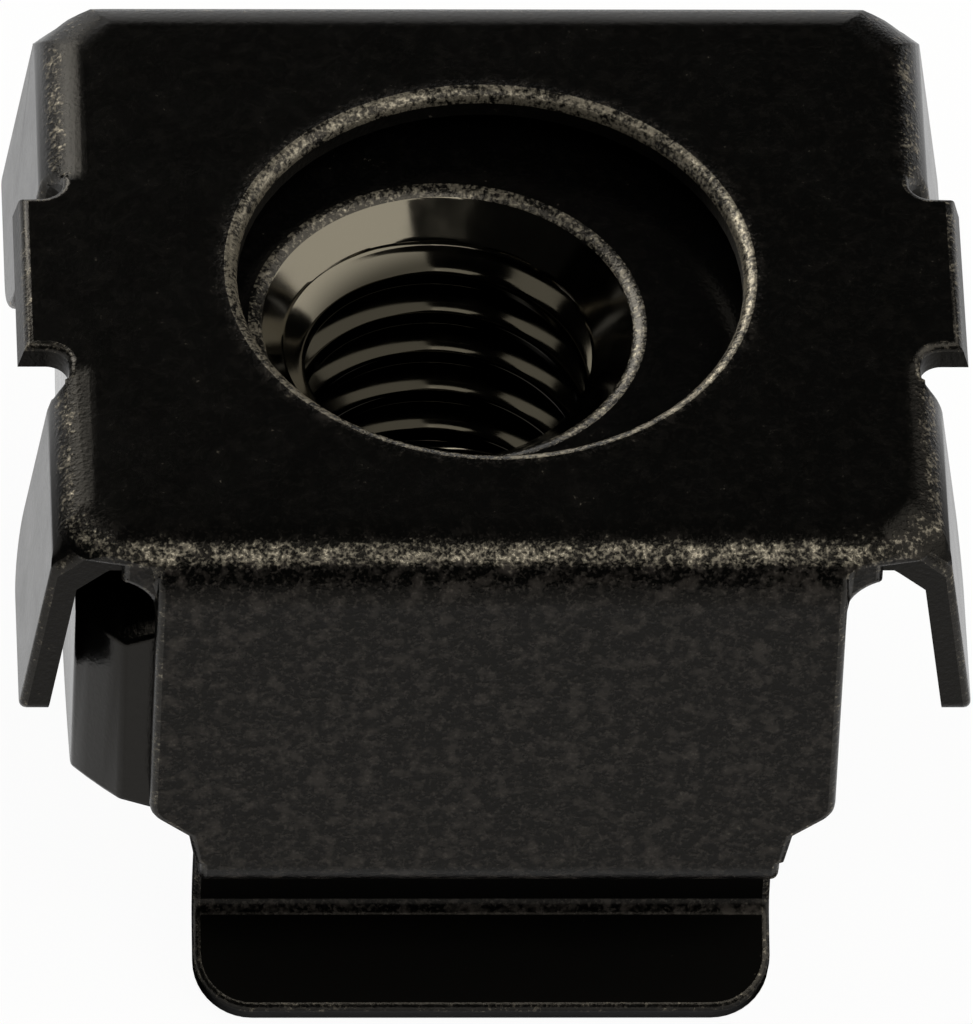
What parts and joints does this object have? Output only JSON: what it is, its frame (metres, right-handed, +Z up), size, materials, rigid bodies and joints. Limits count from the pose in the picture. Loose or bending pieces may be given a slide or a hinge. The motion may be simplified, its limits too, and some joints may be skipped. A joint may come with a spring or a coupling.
{
  "type": "rack cage nut",
  "caption": "Square nut held loose in a cage folded from spring steel, which snaps into a square rack hole.",
  "frame": {"origin": "middle of the cage's box, on the plane that the ends of its lips stand on", "axes": "+Z up along the screw axis, from the lips to the top plate; the two gripping wings lie towards -Y and +Y, the side flanges and tabs towards -X and +X"},
  "size_m": [0.0136, 0.0118, 0.0095],
  "materials": {
    "cage_black": "satin black plating, worn at edges and folds",
    "nut_black": "gloss black plating"
  },
  "bodies": {
    "cage": {"cage": "cage_black"},
    "nut": {"nut": "nut_black"}
  },
  "joints": [
    {"name": "nut_float", "type": "slide", "parent": "cage", "child": "nut", "axis": [1, 0, 0], "range_m": [0, 0.00116]}
  ]
}
